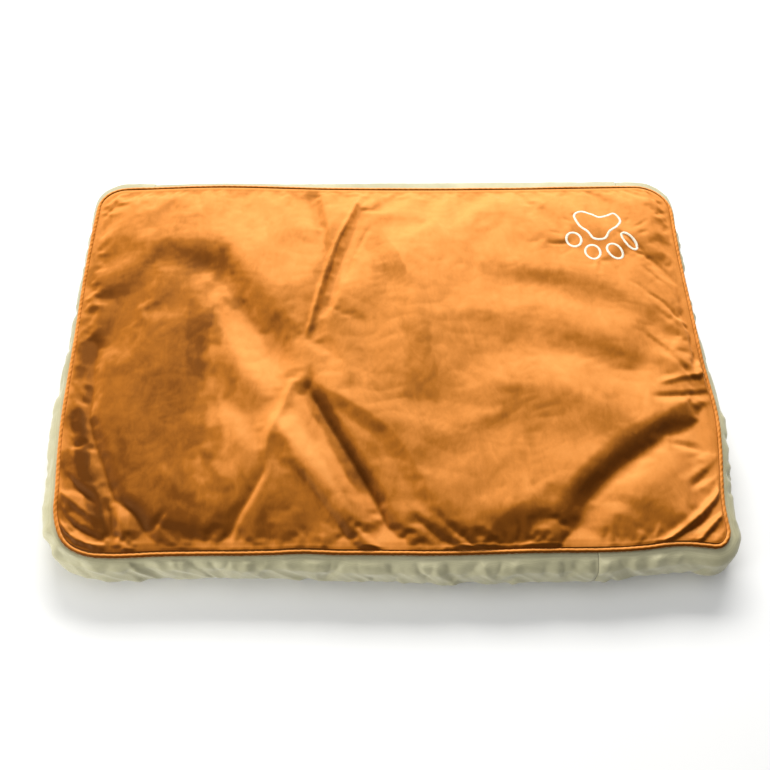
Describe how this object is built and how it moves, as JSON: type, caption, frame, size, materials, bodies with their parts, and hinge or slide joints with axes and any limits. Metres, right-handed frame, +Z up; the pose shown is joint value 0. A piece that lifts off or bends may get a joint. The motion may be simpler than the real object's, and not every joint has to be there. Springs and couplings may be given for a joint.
{
  "type": "pet cushion bed",
  "caption": "Rectangular box-edge pet cushion with a plush top, piped seam, zipped fabric gusset, embroidered paw and a loose fibre-filled inner pad.",
  "frame": {"origin": "middle of the base, on the surface that the cushion lies on", "axes": "+X to the right along the long side, +Y to the zipped back edge, +Z up"},
  "size_m": [1.0008, 0.7066, 0.0944],
  "materials": {
    "plush_top": "short-pile plush, caramel, with sheen",
    "piping_cloth": "the same plush cloth, cut on the bias",
    "filler_cord": "white twisted filler cord",
    "gusset_cloth": "smooth woven polyester, cream beige, slight satin",
    "base_cloth": "plain woven polyester, beige, matt",
    "zip_tape": "woven twill tape, beige",
    "zip_coil": "nylon monofilament coil, beige",
    "zip_metal": "die-cast zinc, beige enamel, satin",
    "stabiliser": "white tear-away backing",
    "embroidery_thread": "ivory trilobal thread, satin stitch",
    "label_tape": "blank white satin ribbon",
    "nonwoven_case": "white spun-bonded cloth",
    "polyester_fibre": "white hollow polyester fibre"
  },
  "bodies": {
    "cushion": {"top_panel": "plush_top", "piping_cover": "piping_cloth", "piping_cord": "filler_cord", "gusset_left_front": "gusset_cloth", "gusset_right": "gusset_cloth", "base_panel": "base_cloth", "zip_facing_upper": "gusset_cloth", "zip_facing_lower": "gusset_cloth", "zip_tape_upper": "zip_tape", "zip_tape_lower": "zip_tape", "zip_coil_upper": "zip_coil", "zip_coil_lower": "zip_coil", "zip_top_stop_upper": "zip_metal", "zip_top_stop_lower": "zip_metal", "zip_bottom_stop": "zip_metal", "embroidery_backing": "stabiliser", "paw_palm": "embroidery_thread", "paw_toe_1": "embroidery_thread", "paw_toe_2": "embroidery_thread", "paw_toe_3": "embroidery_thread", "paw_toe_4": "embroidery_thread", "care_label": "label_tape", "pad_case_top": "nonwoven_case", "pad_case_base": "nonwoven_case", "fibre_filling": "polyester_fibre"},
    "slider": {"zip_slider": "zip_metal"},
    "pull": {"zip_pull": "zip_metal"}
  },
  "joints": [
    {"name": "slider_travel", "type": "slide", "parent": "cushion", "child": "slider", "axis": [-1, 0, 0], "range_m": [0, 0.726]},
    {"name": "pull_swing", "type": "hinge", "parent": "slider", "child": "pull", "pos_m": [0.363, 0.354, 0.034], "axis": [0, 0, -1], "range_deg": [0, 170]}
  ]
}
